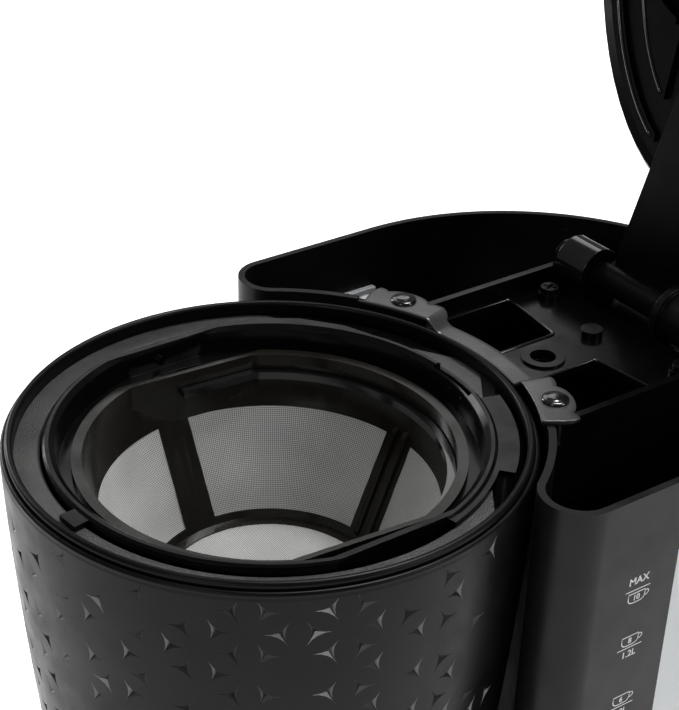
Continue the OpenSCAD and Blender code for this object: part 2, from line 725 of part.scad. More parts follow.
// Tapered arm that carries the lid
module lid_arm() raised() color("#1b1b1c") {
    arm_front = 33;
    narrow_y = hinge_y - 74;
    difference() {
        union() {
            translate([0, 0, rim_z + arm_z]) linear_extrude(panel_z - arm_z) polygon([
                [-arm_left, hinge_y + 1], [-arm_left, hinge_y - 8], [-arm_tip_left, narrow_y],
                [-arm_tip_left, arm_front], [arm_right, arm_front], [arm_right, hinge_y + 1]]);
            translate([0, hinge_y, hinge_z]) {
                rod_x(barrel_r, -bridge_hw + 3, arm_right);
                translate([-arm_left, -4.9, 0]) cube([arm_left + arm_right, 5, 8]);
            }
        }
        translate([0, hinge_y, hinge_z]) rod_x(pin_r + running_gap, -60, 60);
    }
}

// Disc on a short neck that spreads the hot water over the coffee
module spray_head() raised() color("#2e2e30") {
    difference() {
        translate([0, 0, rim_z - 2]) cylinder(r = 24, h = 3.2);
        translate([0, 0, rim_z - 0.6]) cylinder(r = 22, h = 4);
        for (ring = [1:3], k = [0:6 * ring - 1]) rotate(60 * k / ring)
            translate([6 * ring, 0, rim_z - 3]) cylinder(r = 1, h = 5, $fn = 24);
    }
    for (a = [30:60:330]) rotate(a) translate([20.5, -1, rim_z - 0.8]) cube([2, 2, panel_z + 0.75]);
}

// ---------- filter ----------

// Keeps a shape between the two flat sides
module between_flats(x) {
    intersection() {
        children();
        translate([-x, -100, 0]) cube([2 * x, 200, 2 * rim_z]);
    }
}

// Cup with a lip, two flat sides, a ledge for the permanent filter and a spout, hung in the
// drum by its flanges
module filter_holder() placed() color("#17171a") {
    in_r = holder_r - 3.5;
    flange_z = ledge_z + 0.2;
    step_z = filter_z - 2.1;
    difference() {
        union() {
            between_flats(holder_flat_x) rotate_extrude() polygon([
                [0, holder_foot_z], [holder_foot_r, holder_foot_z], [in_r - 0.4, rim_z - 15.4],
                [in_r + 1.2, rim_z - 5.6], [holder_r, rim_z - 5.2], [holder_r, holder_z + 0.6],
                [holder_r - 0.8, holder_z + 1.2], [0, holder_z + 1.2]]);
            translate([0, 0, drum_z + 2]) cylinder(r = spout_r, h = holder_foot_z - drum_z);
            translate([0, 0, flange_z]) linear_extrude(1.6) difference() {
                union() {
                    polygon([[-61.7, 3.4], [-55, 2.6], [-50.5, 18.7], [-31.2, 44.2], [-9.4, 51.8],
                             [-9.9, 59.3], [-24.6, 59.9], [-39.6, 54], [-51.2, 44.7], [-59.5, 32.5],
                             [-62.2, 20.4]]);
                    ring_sector(in_r - 2, 70.9, 39.5, 73.5);
                    ring_sector(in_r - 2, 66.4, 14.5, 40.5);
                    ring_sector(in_r - 2, 69.5, 273.5, 279.5);
                }
                circle(r = in_r);
            }
        }
        between_flats(holder_flat_x - holder_wall) rotate_extrude() polygon([
            [0, holder_foot_z + 2], [holder_foot_r - holder_wall, holder_foot_z + 2],
            [in_r - 2.6, rim_z - 15], [in_r - 2.3, step_z - 2], [filter_r - 1.1, step_z - 1.8],
            [filter_r - 1.1, step_z], [in_r - 0.6, step_z], [in_r, holder_z],
            [holder_r - 1.8, holder_z + 1.3], [holder_r - 1.8, rim_z + 5], [0, rim_z + 5]]);
        translate([0, 0, seat_z]) cylinder(r = chamber_r, h = 40);
        translate([0, 0, seat_z - 4]) cylinder(r = seat_r, h = 10);
        translate([0, 0, drum_z]) cylinder(r = chamber_r, h = seat_z - 7 - drum_z);
        translate([0, 0, seat_z - 9]) cylinder(r = 2.6, h = 10);
        for (a = [0:120:240]) rotate(a) translate([4.4, 0, seat_z - 9]) cylinder(r = 1.5, h = 10);
        translate([0, 0, rim_z - 7]) linear_extrude(20) ring_sector(in_r + 0.6, 80, 75.5, 93.5);
    }
    for (a = [78.5, 84.5, 90.5]) rotate(a) translate([in_r - 0.3, -0.7, rim_z - 8]) cube([3.2, 1.4, 2.6]);
    translate([0, -2.5, rim_z - 7]) rod_x(1.5, -holder_flat_x + 0.8, -holder_flat_x + 3.6);
}

// Sprung plug that stops drips when the carafe is taken away
module drip_valve() placed() color("#c8c8c4") {
    translate([0, 0, drum_z - 7]) cylinder(r = 5, h = 4);
    translate([0, 0, drum_z - 3.2]) cylinder(r = 2.5, h = seat_z + 3.2 - drum_z + 3.2);
    translate([0, 0, seat_z + 3]) cylinder(r = 8, h = 3);
}

// Rubber ring on the plug
module drip_seal() placed() color("#b5522f")
    tube_z(7.9, 2.5 + running_gap, seat_z + 0.1, seat_z + 2.9);

// Coil spring round the plug's stem
module drip_spring() placed() color("#b0b2b4")
    tube_z(4.2, 3.2, drum_z - 2.9, seat_z - 7.1);

// Outer radius of the permanent filter at a depth under its rim
function filter_side(d) = d < 7.5 ? filter_r - 1.4 :
    filter_foot_r + (filter_r - 1.4 - filter_foot_r) * (filter_depth - d) / (filter_depth - 7.5);

// The filter sits a little turned in its holder
module turned() {
    placed() rotate(filter_turn) children();
}

// Windows between the ribs, made smaller all round by less
module filter_windows(less = 0) {
    rib = rib_w / 2 + less;
    for (sx = [-1, 1], sy = [-1, 1]) rotate(rib_turn)
        translate([sx > 0 ? rib : -80, sy > 0 ? rib : -80, filter_z - window_foot + less])
            cube([80 - rib, 80 - rib, window_foot - window_top - 2 * less]);
}

// Rim, four ribs and floor ring of the permanent filter
module filter_frame() turned() color("#2b2622") {
    foot_z = filter_z - filter_depth;
    difference() {
        between_flats(filter_flat_x) rotate_extrude() polygon([
            [0, foot_z], [filter_side(filter_depth), foot_z], [filter_side(7.5), filter_z - 7.5],
            [filter_side(2), filter_z - 2], [filter_r, filter_z - 2], [filter_r, filter_z], [0, filter_z]]);
        between_flats(filter_flat_x - filter_wall) rotate_extrude() polygon([
            [0, foot_z + filter_wall],
            [filter_side(filter_depth - 2) - filter_wall - 0.4, foot_z + filter_wall],
            [filter_side(7.5) - filter_wall, filter_z - 8],
            [filter_side(2) - filter_wall, filter_z + 1], [0, filter_z + 1]]);
        filter_windows();
        translate([0, 0, foot_z - 1]) cylinder(r = filter_foot_r - 4.5, h = 8);
        translate([0, bail_y, bail_z]) rod_x(bail_pin_r + running_gap, -70, 70);
    }
}

// Fine mesh: one panel in each window and one in the floor
module filter_mesh() turned() color("#a8aaab") {
    foot_z = filter_z - filter_depth;
    mid = 0.9;
    intersection() {
        filter_windows(running_gap);
        rotate_extrude() polygon([
            [filter_side(filter_depth) - mid, foot_z], [filter_side(8) - mid, filter_z - 8],
            [filter_side(8) - mid - 0.5, filter_z - 8], [filter_side(filter_depth) - mid - 0.5, foot_z]]);
    }
    translate([0, 0, foot_z + filter_wall / 2]) cylinder(r = filter_foot_r - 4.5 - running_gap, h = 0.5);
}

// Folding handle of the permanent filter, lying back along the inside of its rim
module filter_bail() turned() color("#26211e")
    translate([0, 0, bail_z]) {
        half = bail_wire / 2;
        mid_r = bail_r - half;
        side_x = bail_flat_x - half;
        side_y = sqrt(pow(mid_r, 2) - pow(side_x, 2));
        intersection() {
            rotate_extrude() translate([mid_r, 0]) square(bail_wire, center = true);
            translate([-bail_flat_x, 10, -10]) cube([2 * bail_flat_x, 60, 20]);
        }
        for (m = [0, 1]) mirror([m, 0, 0]) {
            translate([side_x - half, bail_y - 2, -half])
                cube([bail_wire, side_y - bail_y + 1.8, bail_wire]);
            translate([0, bail_y, 0]) rod_x(bail_pin_r, side_x, filter_flat_x - 0.1);
        }
    }

// ---------- carafe ----------

// Outside radius of the glass at a height over its foot, from 0 at the foot to 1 at the neck
function glass_side(t) = 57 + (glass_r - 57) * sin(180 * pow(t, 0.75)) - 4 * t;

// Glass jug with a short neck and a flared lip
module carafe_glass() placed() color("#dfe8ea", 0.35) {
    side_h = neck_z - 10 - carafe_z;
    rotate_extrude() polygon(concat(
        [[0, carafe_z + 1], [50, carafe_z + 1], [53, carafe_z], [56, carafe_z + 0.6]],
        [for (i = [1:16]) let(t = i / 16) [glass_side(t), carafe_z + 3 + (side_h - 3) * t]],
        [[53, neck_z + 1], [55, neck_z + 6], [53, neck_z + 6], [51, neck_z + 1]],
        [for (i = [16:-1:1]) let(t = i / 16) [glass_side(t) - 2, carafe_z + 4 + (side_h - 4) * t]],
        [[50, carafe_z + 3], [0, carafe_z + 3]]));
}

// Steel band round the neck
module carafe_band() placed() color("#9b9da0")
    difference() {
        tube_z(54.6, 53.1, neck_z - 8, neck_z);
        translate([0, -50, neck_z - 4]) rotate([90, 0, 0]) cylinder(r = 1.7, h = 10);
    }

// Grip in front of the jug, saddled on the band
module carafe_handle() placed() color("#171718") {
    out = -handle_reach;
    difference() {
        translate([-11, 0, 0]) rotate([90, 0, 90]) linear_extrude(22) polygon([
            [-50, neck_z], [-100, neck_z], [out + 5, neck_z - 3],
            [out, neck_z - 14], [out + 2, neck_z - 60],
            [out + 10, neck_z - 88], [out + 20, neck_z - 92],
            [out + 24, neck_z - 88], [out + 15, neck_z - 62],
            [out + 12, neck_z - 18], [-98, neck_z - 9.6], [-58, neck_z - 7.8], [-50, neck_z - 7.8]]);
        translate([0, 0, neck_z - 20]) cylinder(r = 54.65, h = 40);
        translate([0, -50, neck_z - 4]) rotate([90, 0, 0]) cylinder(r = 1.7, h = 30);
        translate([0, -72, neck_z - 4]) rotate([90, 0, 0]) cylinder(r = 3.3, h = 60);
    }
}

// Screw that pulls the band together inside the handle
module band_screw() placed() color("#a9abad")
    translate([0, 0, neck_z - 4]) rotate([90, 0, 0]) {
        translate([0, 0, 53.2]) cylinder(r = 1.6, h = 18.9);
        translate([0, 0, 72.1]) cylinder(r = 3, h = 2.2);
    }

// Jug's lid: turns to lock, with a rim, a thumb ridge and the hole under the drip stop
module carafe_lid() placed() color("#1a1a1b")
    difference() {
        union() {
            translate([0, 0, neck_z + 6.2]) cylinder(r = 57, h = 3);
            translate([0, 0, neck_z - 6]) cylinder(r = 49.5, h = 12.5);
            translate([0, 0, neck_z + 9]) cylinder(r1 = 52, r2 = 40, h = 4.5);
            translate([-5, -62, neck_z + 6.2]) cube([10, 12, 4.6]);
        }
        translate([0, 0, neck_z - 8]) cylinder(r = 47, h = 14);
        translate([0, 0, neck_z + 5]) cylinder(r = 4, h = 20);
        translate([0, 0, neck_z + 11.5]) cylinder(r1 = 14, r2 = 22, h = 4);
        for (a = [-18:12:18]) rotate(a) translate([0, 48, neck_z - 8]) cylinder(r = 2, h = 12, $fn = 24);
    }

// ---------- output ----------
base_shell();
bottom_plate();
bottom_screws();
rubber_feet();
hotplate();
hotplate_gasket();
heating_element();
thermostat();
thermal_fuses();
element_clamp();
switch_housing();
rocker_switch();
cord_gland();
terminal_block();
tank_shell();
level_window_right();
level_window_left();
tank_outlet();
check_valve();
inlet_hose();
outlet_hose();
riser_tube();
riser_seal();
drum_shell();
drum_liner();
liner_screws();
bridge_frame();
bridge_screws();
strap_bracket();
strap_rivets();
hinge_saddle();
hinge_knuckle();
hinge_pin();
lid_outer();
lid_inner();
lid_arm();
spray_head();
filter_holder();
drip_valve();
drip_seal();
drip_spring();
filter_frame();
filter_mesh();
filter_bail();
carafe_glass();
carafe_band();
carafe_handle();
band_screw();
carafe_lid();
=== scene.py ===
import json
import math

import bmesh
import bpy
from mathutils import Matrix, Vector
from mathutils.geometry import delaunay_2d_cdt


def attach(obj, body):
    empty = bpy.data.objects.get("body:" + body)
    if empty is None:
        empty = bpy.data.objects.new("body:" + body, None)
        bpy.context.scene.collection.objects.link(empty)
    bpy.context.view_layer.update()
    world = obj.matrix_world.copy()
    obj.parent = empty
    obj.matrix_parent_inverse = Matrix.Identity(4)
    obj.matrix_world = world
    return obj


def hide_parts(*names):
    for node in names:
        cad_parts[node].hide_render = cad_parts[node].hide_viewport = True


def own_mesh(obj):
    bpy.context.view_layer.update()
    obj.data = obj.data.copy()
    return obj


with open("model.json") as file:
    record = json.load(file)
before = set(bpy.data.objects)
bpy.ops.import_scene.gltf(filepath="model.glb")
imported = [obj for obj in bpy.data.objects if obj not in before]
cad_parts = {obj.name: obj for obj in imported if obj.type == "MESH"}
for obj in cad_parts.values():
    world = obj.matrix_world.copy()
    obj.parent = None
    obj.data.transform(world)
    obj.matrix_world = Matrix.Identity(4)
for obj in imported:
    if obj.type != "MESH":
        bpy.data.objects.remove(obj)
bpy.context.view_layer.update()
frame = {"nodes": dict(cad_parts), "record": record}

MM = 0.001
TAU = 2 * math.pi
AXIS_Y = -45.28     # the drum's axis in the part's frame, in millimetres
RIM = 300.0         # height of the drum's rim above the table, in millimetres


def at(x, y, z):
    """A point given about the drum's axis, z from its rim, in millimetres."""
    return Vector((x * MM, (y + AXIS_Y) * MM, (z + RIM) * MM))


def wave(n):
    """A fixed number between 0 and 1 for each whole number, for small irregularities."""
    return (math.sin(n * 12.9898) * 43758.5453) % 1.0


# ---------------------------------------------------------------- materials


def new_material(name):
    """A new material, its node tree and its main shader."""
    mat = bpy.data.materials.new(name)
    mat.use_nodes = True
    nt = mat.node_tree
    bsdf = nt.nodes["Principled BSDF"]
    return mat, nt, bsdf


def link(nt, a, b):
    nt.links.new(a, b)


def object_coords(nt):
    return nt.nodes.new("ShaderNodeTexCoord").outputs["Object"]


def ramp(nt, source, low, high, from_min=0.3, from_max=0.7):
    """Spreads the middle of a noise over the values from low to high."""
    node = nt.nodes.new("ShaderNodeMapRange")
    node.inputs["From Min"].default_value = from_min
    node.inputs["From Max"].default_value = from_max
    node.inputs["To Min"].default_value = low
    node.inputs["To Max"].default_value = high
    link(nt, source, node.inputs["Value"])
    return node.outputs["Result"]


def noise(nt, coord, scale, detail=4.0, rough=0.55):
    node = nt.nodes.new("ShaderNodeTexNoise")
    node.inputs["Scale"].default_value = scale
    node.inputs["Detail"].default_value = detail
    node.inputs["Roughness"].default_value = rough
    link(nt, coord, node.inputs["Vector"])
    return node.outputs["Fac"]


def mix_colour(nt, fac, a, b):
    node = nt.nodes.new("ShaderNodeMix")
    node.data_type = "RGBA"
    node.inputs["A"].default_value = (*a, 1)
    node.inputs["B"].default_value = (*b, 1)
    link(nt, fac, node.inputs["Factor"])
    return node.outputs["Result"]


def calculated(nt, operation, *values):
    """The result of a maths node fed with sockets or plain numbers."""
    node = nt.nodes.new("ShaderNodeMath")
    node.operation = operation
    for socket, value in zip(node.inputs, values):
        if isinstance(value, (int, float)):
            socket.default_value = value
        else:
            link(nt, value, socket)
    return node.outputs[0]


def relief(nt, height, depth, bsdf):
    """Makes the surface look raised by up to depth millimetres where height is high."""
    bump = nt.nodes.new("ShaderNodeBump")
    bump.inputs["Distance"].default_value = depth * MM
    link(nt, height, bump.inputs["Height"])
    link(nt, bump.outputs["Normal"], bsdf.inputs["Normal"])


def moulded(name, dark, light, rough, grain, depth, spec=0.5, metal=0.0, coat=0.0, smudge=0.08):
    """Moulded plastic, rubber or metal: fine grain, faint smudges in the gloss, faint tone changes."""
    mat, nt, bsdf = new_material(name)
    coord = object_coords(nt)
    fine = noise(nt, coord, 1 / (grain * MM), 3.0)
    broad = noise(nt, coord, 38.0, 5.0)
    link(nt, mix_colour(nt, ramp(nt, broad, 0, 1), dark, light), bsdf.inputs["Base Color"])
    smudges = ramp(nt, noise(nt, coord, 90.0, 6.0), max(rough - smudge, 0.03), rough + smudge)
    link(nt, smudges, bsdf.inputs["Roughness"])
    relief(nt, fine, depth, bsdf)
    bsdf.inputs["Specular IOR Level"].default_value = spec
    bsdf.inputs["Metallic"].default_value = metal
    bsdf.inputs["Coat Weight"].default_value = coat
    bsdf.inputs["Coat Roughness"].default_value = 0.12
    return mat


def woven(name):
    """Fine filter cloth: threads over and under, drawn along the piece's UV map in millimetres."""
    pitch = 0.62
    mat, nt, bsdf = new_material(name)
    uv = nt.nodes.new("ShaderNodeTexCoord").outputs["UV"]
    split = nt.nodes.new("ShaderNodeSeparateXYZ")
    link(nt, uv, split.inputs["Vector"])
    threads = [calculated(nt, "SINE", calculated(nt, "MULTIPLY", split.outputs[axis], TAU / pitch))
               for axis in ("X", "Y")]
    top = calculated(nt, "MAXIMUM", *threads)
    soil = noise(nt, object_coords(nt), 55.0, 5.0)
    shade = calculated(nt, "MULTIPLY", ramp(nt, top, 0, 1, -0.2, 0.75), ramp(nt, soil, 0.8, 1.0))
    gap, thread = (0.07, 0.07, 0.067), (0.68, 0.68, 0.665)
    link(nt, mix_colour(nt, shade, gap, thread), bsdf.inputs["Base Color"])
    link(nt, ramp(nt, soil, 0.5, 0.7), bsdf.inputs["Roughness"])
    relief(nt, top, 0.06, bsdf)
    return mat


def brushed(name, tone, rough, stretch=(1, 1, 40)):
    """Steel with fine lines along one direction."""
    mat, nt, bsdf = new_material(name)
    mapping = nt.nodes.new("ShaderNodeMapping")
    mapping.inputs["Scale"].default_value = stretch
    link(nt, object_coords(nt), mapping.inputs["Vector"])
    lines = noise(nt, mapping.outputs["Vector"], 260.0, 3.0)
    shade = mix_colour(nt, ramp(nt, lines, 0, 1), [c * 0.8 for c in tone], tone)
    link(nt, shade, bsdf.inputs["Base Color"])
    link(nt, ramp(nt, lines, rough - 0.07, rough + 0.07), bsdf.inputs["Roughness"])
    relief(nt, lines, 0.01, bsdf)
    bsdf.inputs["Metallic"].default_value = 1.0
    return mat


def clear(name, tint, rough, weight=1.0):
    """Clear glass or plastic with faint wipe marks."""
    mat, nt, bsdf = new_material(name)
    marks = noise(nt, object_coords(nt), 30.0, 6.0)
    link(nt, ramp(nt, marks, rough, rough + 0.05), bsdf.inputs["Roughness"])
    wiped = [min(c * 1.03, 1) for c in tint]
    link(nt, mix_colour(nt, ramp(nt, marks, 0, 1), tint, wiped), bsdf.inputs["Base Color"])
    bsdf.inputs["Transmission Weight"].default_value = weight
    bsdf.inputs["IOR"].default_value = 1.47
    return mat


# For each look: a dark and a light tone, roughness, size of the grain and its depth in millimetres.
LOOK = {
    "drum": moulded("drum_black", (0.0025, 0.0025, 0.0027), (0.0038, 0.0038, 0.004),
                    0.36, 0.35, 0.010, spec=0.12),
    # The dimple facets: a lighter, much shinier copy of the drum's black, a painted highlight that brightens
    # them.
    "dimple": moulded("dimple_painted_highlight", (0.0035, 0.0035, 0.0036), (0.005, 0.005, 0.0052),
                      0.33, 0.35, 0.003, spec=0.9, smudge=0.03),
    # The lid's arm: a darker, duller copy of the black plastic, painted shade.
    "arm_painted_shade": moulded("arm_painted_shade", (0.0022, 0.0022, 0.0023), (0.0034, 0.0034, 0.0035),
                        0.32, 0.5, 0.010, spec=0.08),
    # The lid's inside: a darker, duller copy of the black plastic, painted shade.
    "lid_painted_shade": moulded("lid_painted_shade", (0.002, 0.002, 0.0021), (0.003, 0.003, 0.0031),
                        0.3, 2.0, 0.008, spec=0.05),
    "tank": moulded("tank_black", (0.0034, 0.0034, 0.0036), (0.0052, 0.0052, 0.0055),
                    0.38, 0.4, 0.012, spec=0.17),
    "base": moulded("base_black", (0.010, 0.010, 0.0105), (0.014, 0.014, 0.0145),
                    0.45, 0.4, 0.02, spec=0.4),
    "gloss": moulded("gloss_black", (0.0022, 0.0022, 0.0023), (0.0032, 0.0032, 0.0033),
                     0.2, 2.5, 0.012, spec=0.14),
    "satin": moulded("satin_black", (0.003, 0.003, 0.0032), (0.0045, 0.0045, 0.0047),
                     0.33, 0.5, 0.012, spec=0.18),
    "ledge": moulded("ledge_black", (0.006, 0.006, 0.006), (0.050, 0.050, 0.048),
                     0.42, 0.55, 0.30, spec=0.5),
    "strap": moulded("strap_grey", (0.034, 0.0345, 0.036), (0.046, 0.0465, 0.048),
                     0.30, 0.6, 0.010, spec=0.5),
    "brown": moulded("filter_brown", (0.006, 0.0053, 0.0042), (0.010, 0.0088, 0.007),
                     0.22, 0.8, 0.010, spec=0.26),
    "cap": moulded("cap_gloss", (0.004, 0.004, 0.0042), (0.007, 0.007, 0.0073),
                   0.12, 2.0, 0.008, spec=0.5, coat=0.5, smudge=0.04),
    "cloth": woven("filter_cloth"),
    "rubber": moulded("foot_rubber", (0.020, 0.020, 0.021), (0.030, 0.030, 0.031),
                      0.75, 0.5, 0.05, spec=0.3),
    "red": moulded("seal_red", (0.34, 0.06, 0.03), (0.42, 0.09, 0.04), 0.6, 0.5, 0.03, spec=0.35),
    "silicone": moulded("hose_silicone", (0.60, 0.58, 0.52), (0.68, 0.66, 0.60),
                        0.45, 0.8, 0.02, spec=0.4),
    "ivory": moulded("ivory_plastic", (0.66, 0.63, 0.54), (0.72, 0.69, 0.60),
                     0.4, 0.8, 0.02, spec=0.45),
    "sleeve": moulded("fuse_sleeve", (0.55, 0.52, 0.44), (0.66, 0.63, 0.55), 0.8, 0.3, 0.15, spec=0.2),
    "cast": moulded("cast_aluminium", (0.50, 0.51, 0.52), (0.62, 0.63, 0.64),
                    0.42, 0.9, 0.08, metal=1.0),
    "plate": moulded("plate_coat", (0.016, 0.016, 0.0165), (0.026, 0.026, 0.0265),
                     0.38, 0.35, 0.05, spec=0.45),
    "ink": moulded("mark_ink", (0.50, 0.50, 0.50), (0.58, 0.58, 0.58), 0.6, 0.4, 0.01, spec=0.3),
    "steel": brushed("screw_steel", (0.56, 0.57, 0.58), 0.3),
    "band": brushed("band_steel", (0.62, 0.63, 0.64), 0.26, (1, 1, 60)),
    "glass": clear("jug_glass", (0.96, 0.99, 0.99), 0.0),
    "level": clear("level_plastic", (0.80, 0.83, 0.84), 0.28, 0.55),
}

# ---------------------------------------------------------------- mesh tools


def piece(name, verts, faces, mat, body, hides=()):
    """A smooth-shaded mesh that moves with a body and stands for the CAD nodes in hides."""
    me = bpy.data.meshes.new(name)
    me.from_pydata([tuple(v) for v in verts], [], [tuple(f) for f in faces])
    me.update()
    me.materials.append(mat)
    for p in me.polygons:
        p.use_smooth = True
    ob = bpy.data.objects.new(name, me)
    bpy.context.scene.collection.objects.link(ob)
    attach(ob, body)
    if hides:
        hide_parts(*hides)
    return ob


def outward(ob):
    """Turns all faces of a piece outwards."""
    bm = bmesh.new()
    bm.from_mesh(ob.data)
    bmesh.ops.recalc_face_normals(bm, faces=bm.faces)
    bm.to_mesh(ob.data)
    bm.free()
    return ob


def soften(ob, width, segments=2, angle=34):
    """Rounds the edges that turn more than angle, and evens the shading of the flats."""
    mod = ob.modifiers.new("round", "BEVEL")
    mod.width = width * MM
    mod.segments = segments
    mod.limit_method = "ANGLE"
    mod.angle_limit = math.radians(angle)
    mod.use_clamp_overlap = True
    mod.miter_outer = "MITER_ARC"
    shade = ob.modifiers.new("shade", "WEIGHTED_NORMAL")
    shade.keep_sharp = False
    shade.weight = 60


WELD = 0.004            # points of a CAD node that are this close are one point
FLAT = math.radians(0.6)    # faces that turn less than this are one flat


def refined(node, mat, width, segments=2):
    """A finished copy of a CAD node: welded, its flats made whole, its edges rounded."""
    src = frame["nodes"][node]
    me = src.data.copy()
    me.name = node + "_looks"
    bm = bmesh.new()
    bm.from_mesh(me)
    bmesh.ops.remove_doubles(bm, verts=bm.verts, dist=WELD * MM)
    bmesh.ops.dissolve_limit(bm, angle_limit=FLAT, verts=bm.verts, edges=bm.edges)
    bmesh.ops.recalc_face_normals(bm, faces=bm.faces)
    bm.to_mesh(me)
    bm.free()
    if "custom_normal" in me.attributes:
        me.attributes.remove(me.attributes["custom_normal"])
    me.materials.clear()
    me.materials.append(mat)
    for p in me.polygons:
        p.use_smooth = True
    if not width:
        me.set_sharp_from_angle(angle=math.radians(34))
    ob = bpy.data.objects.new(node + "_looks", me)
    bpy.context.scene.collection.objects.link(ob)
    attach(ob, body_name(node))
    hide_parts(node)
    if width:
        soften(ob, width, segments)
    return ob


def body_name(node):
    """The body that a CAD node belongs to."""
    for body, members in frame["record"]["behaviour"]["bodies"].items():
        if node in members:
            return body
    raise ValueError(node)


def ring_faces(base, rings, points, joined=False, closed=True):
    """Faces between neighbouring rings of points, the first point being number base.

    joined closes the row of rings, closed closes each ring.
    """
    faces = []
    for i in range(rings if joined else rings - 1):
        j = (i + 1) % rings
        for k in range(points if closed else points - 1):
            h = (k + 1) % points
            corners = (i * points + k, j * points + k, j * points + h, i * points + h)
            faces.append(tuple(base + q for q in corners))
    return faces


def end_faces(base, rings, points):
    """Faces over the first and the last ring."""
    end = base + rings * points
    return [tuple(range(base, base + points)), tuple(range(end - 1, end - points - 1, -1))]


def revolved(profile, n):
    """Vertices and faces of a line of (r, z) points turned about the drum's axis."""
    verts = []
    for i in range(n):
        a = TAU * i / n
        verts += [at(r * math.cos(a), r * math.sin(a), z) for r, z in profile]
    return verts, ring_faces(0, n, len(profile), joined=True, closed=False)


def arc_points(cx, cz, r, a0, a1, n):
    """Points of a round stretch, its angles in degrees."""
    turns = [math.radians(a0 + (a1 - a0) * i / n) for i in range(n + 1)]
    return [(cx + r * math.cos(a), cz + r * math.sin(a)) for a in turns]


# ---------------------------------------------------------------- drum

DRUM_R, DRUM_FOOT_R, DRUM_H, DRUM_WALL = 76.7, 71.0, 104.0, 2.2
DRUM_TOP = -4.6         # where the outer wall ends and the rolled rim begins


def drum_side(depth):
    """Outer radius of the drum at a depth under its rim."""
    return DRUM_FOOT_R + (DRUM_R - DRUM_FOOT_R) * (1 - (depth / DRUM_H) ** 1.6)


LINE_0, LINE_STEP = 52.83, 9.474    # angle of line 0 and the step between lines, in degrees
ROW_0 = (-8.0, -0.93)               # height of row 0 on the even and on the odd lines
ROW_STEP = 14.17
LOWEST = -99.0
# Dimples on the lines from the front round to the right, as seen from above the rim: for each
# line the rows of the dimples on its left and on its right.
MOTIF = {
    -6: ((-1, -2), (-1, -2, -3)), -5: ((-1, -3), (-2, -3)), -4: ((0, -1), (-1, -2, -3)),
    -3: ((-1, -3), (-2, -3)), -2: ((0, -1, -2), (-1,)), -1: ((-1, -2, -3), (-1, -2)),
    0: ((0, -1, -2), (0, -1, -2)), 1: ((-1,), (-1,)), 2: ((0, -1, -2), (0, -1, -2)),
    3: ((-1, -2, -3), (-1,)), 4: ((-1, -2, -3), (0, -1, -2, -3)), 5: ((-1, -3), (-2,)),
    6: ((0,), ()),
}


def dimples():
    """(angle, height, side) of every dimple; the far side repeats the near one, mirrored."""
    out = []
    for line in range(-18, 7):
        src = line if line >= -6 else -12 - line
        left, right = MOTIF[src] if line >= -6 else MOTIF[src][::-1]
        deep = [n for n in range(-4, -7, -1) if wave(line * 7 + n) > 0.16]
        deeper = [n for n in range(-4, -7, -1) if wave(line * 5 - n * 3) > 0.16]
        for rows, side in ((list(left) + deep, -1), (list(right) + deeper, 1)):
            for n in rows:
                z = ROW_0[line % 2] + ROW_STEP * n
                if z > LOWEST:
                    out.append((LINE_0 + LINE_STEP * line, z, side))
    return out


SIDE = 8.0      # height of a dimple's upright side
REACH = 6.5     # its width
INSET = 2.18    # its distance from the line
PULL = 1.15     # how far each side bows in
DEPTH = 0.8     # how deep its middle lies
CLEAR = 4.6     # no other point of the wall lies this near to its middle
PER_DEG = 75.4 * math.pi / 180      # length of one degree along the wall


def dimple_outline():
    """Outline of one dimple about its line, pointing to the right, and its middle."""
    tips = [(INSET, SIDE / 2), (INSET, -SIDE / 2), (INSET + REACH, 0.0)]
    middle = (INSET + REACH * 0.34, 0.0)
    pts = []
    for i in range(3):
        a, b = tips[i], tips[(i + 1) % 3]
        mx, my = (a[0] + b[0]) / 2, (a[1] + b[1]) / 2
        d = math.hypot(middle[0] - mx, middle[1] - my)
        cx, cy = mx + (middle[0] - mx) / d * PULL * 2, my + (middle[1] - my) / d * PULL * 2
        for t in (0.0, 0.25, 0.5, 0.75):
            u = 1 - t
            pts.append(tuple(u * u * p + 2 * u * t * q + t * t * r for p, q, r in zip(a, (cx, cy), b)))
    return pts, middle


def drum_plan():
    """The wall laid flat: points, the dimples' edges, and each dimple's first point, size and middle."""
    outline, middle = dimple_outline()
    pts, edges, stars = [], [], []
    cells = dimples()
    for angle, z, side in cells:
        first = len(pts)
        ring = outline if side > 0 else outline[::-1]
        for u, v in ring:
            pts.append(Vector((angle * PER_DEG + side * u, z + v)))
        n = len(ring)
        edges += [(first + i, first + (i + 1) % n) for i in range(n)]
        stars.append((first, n, Vector((angle * PER_DEG + side * middle[0], z))))
    cols, rows = 120, 20
    half = 180 * PER_DEG
    spots = [(a * PER_DEG + s * (INSET + REACH * 0.45), z) for a, z, s in cells]
    for i in range(cols + 1):
        u = -half + 2 * half * i / cols
        for j in range(rows + 1):
            z = DRUM_TOP - (DRUM_H + DRUM_TOP) * j / rows
            edge = i in (0, cols) or j in (0, rows)
            if not edge and any(abs(u - a) < CLEAR and abs(z - b) < CLEAR for a, b in spots):
                continue
            pts.append(Vector((u, z)))
    return pts, edges, stars


def drum_point(u, z, sink=0.0):
    """Point of the outer wall at the length u along it from the front, moved in by sink."""
    a = math.radians(u / PER_DEG)
    r = drum_side(-z) - sink
    return at(r * math.sin(a), -r * math.cos(a), z)


def drum_normal(u, z):
    a = math.radians(u / PER_DEG)
    slope = drum_side(-z + 0.5) - drum_side(-z - 0.5)
    return Vector((math.sin(a), -math.cos(a), slope)).normalized()


